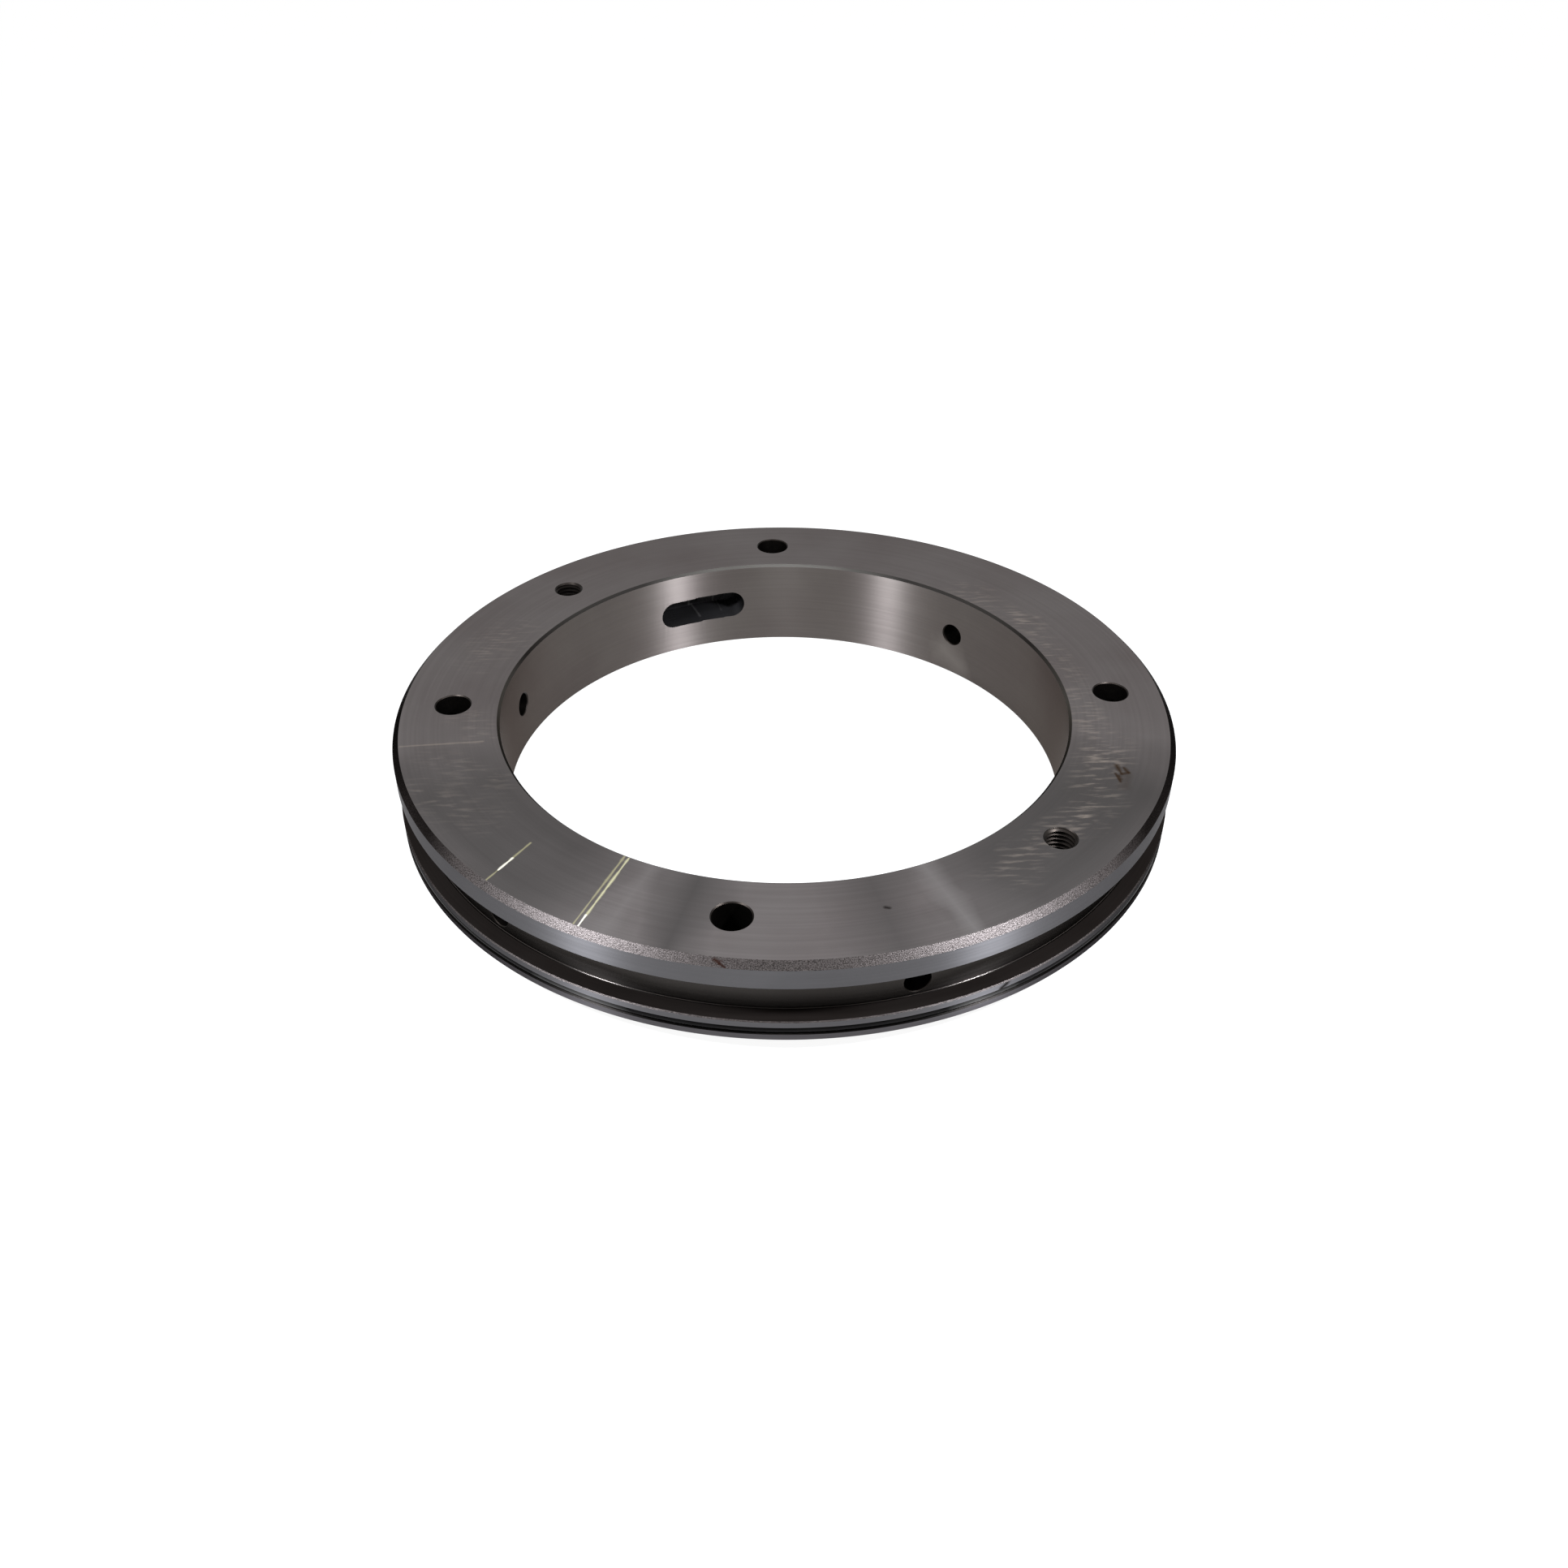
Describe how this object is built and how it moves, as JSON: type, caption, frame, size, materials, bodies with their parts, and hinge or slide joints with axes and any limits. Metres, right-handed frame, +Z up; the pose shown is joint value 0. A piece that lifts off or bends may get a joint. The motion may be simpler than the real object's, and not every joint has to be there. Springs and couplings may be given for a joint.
{
  "type": "slewing ring bearing",
  "caption": "Low two-ring slewing bearing with a wide outer groove, an open bore, a caged ball row, rubber seals, access holes and tapped holes.",
  "frame": {"origin": "centre of the bottom face, on the turning axis", "axes": "+Z up along the turning axis; +X towards one plain hole, +Y towards the next"},
  "size_m": [0.3, 0.3, 0.038],
  "materials": {
    "ring_steel": "ground",
    "ball_steel": "polished",
    "pin_steel": "ground",
    "seal_rubber": "satin",
    "cage_brass": "satin"
  },
  "bodies": {
    "outer": {"outer_ring": "ring_steel", "o_ring": "seal_rubber", "upper_seal": "seal_rubber", "lower_seal": "seal_rubber"},
    "inner": {"inner_ring": "ring_steel", "filling_plug": "pin_steel", "plug_pin": "pin_steel"},
    "ball_set": {"ball_cage": "cage_brass", "ball_01": "ball_steel", "ball_02": "ball_steel", "ball_03": "ball_steel", "ball_04": "ball_steel", "ball_05": "ball_steel", "ball_06": "ball_steel", "ball_07": "ball_steel", "ball_08": "ball_steel", "ball_09": "ball_steel", "ball_10": "ball_steel", "ball_11": "ball_steel", "ball_12": "ball_steel", "ball_13": "ball_steel", "ball_14": "ball_steel", "ball_15": "ball_steel", "ball_16": "ball_steel", "ball_17": "ball_steel", "ball_18": "ball_steel", "ball_19": "ball_steel", "ball_20": "ball_steel", "ball_21": "ball_steel", "ball_22": "ball_steel", "ball_23": "ball_steel", "ball_24": "ball_steel", "ball_25": "ball_steel", "ball_26": "ball_steel", "ball_27": "ball_steel", "ball_28": "ball_steel", "ball_29": "ball_steel", "ball_30": "ball_steel", "ball_31": "ball_steel", "ball_32": "ball_steel", "ball_33": "ball_steel", "ball_34": "ball_steel", "ball_35": "ball_steel", "ball_36": "ball_steel"}
  },
  "joints": [
    {"name": "slew", "type": "hinge", "parent": "outer", "child": "inner", "pos_m": [0, 0, 0.006], "axis": [0, 0, 1], "continuous": true},
    {"name": "cage_orbit", "type": "hinge", "parent": "outer", "child": "ball_set", "pos_m": [0, 0, 0.006], "axis": [0, 0, 1], "continuous": true}
  ],
  "couplings": [
    {"joint": "cage_orbit", "follows": "slew", "ratio": 0.4909}
  ]
}
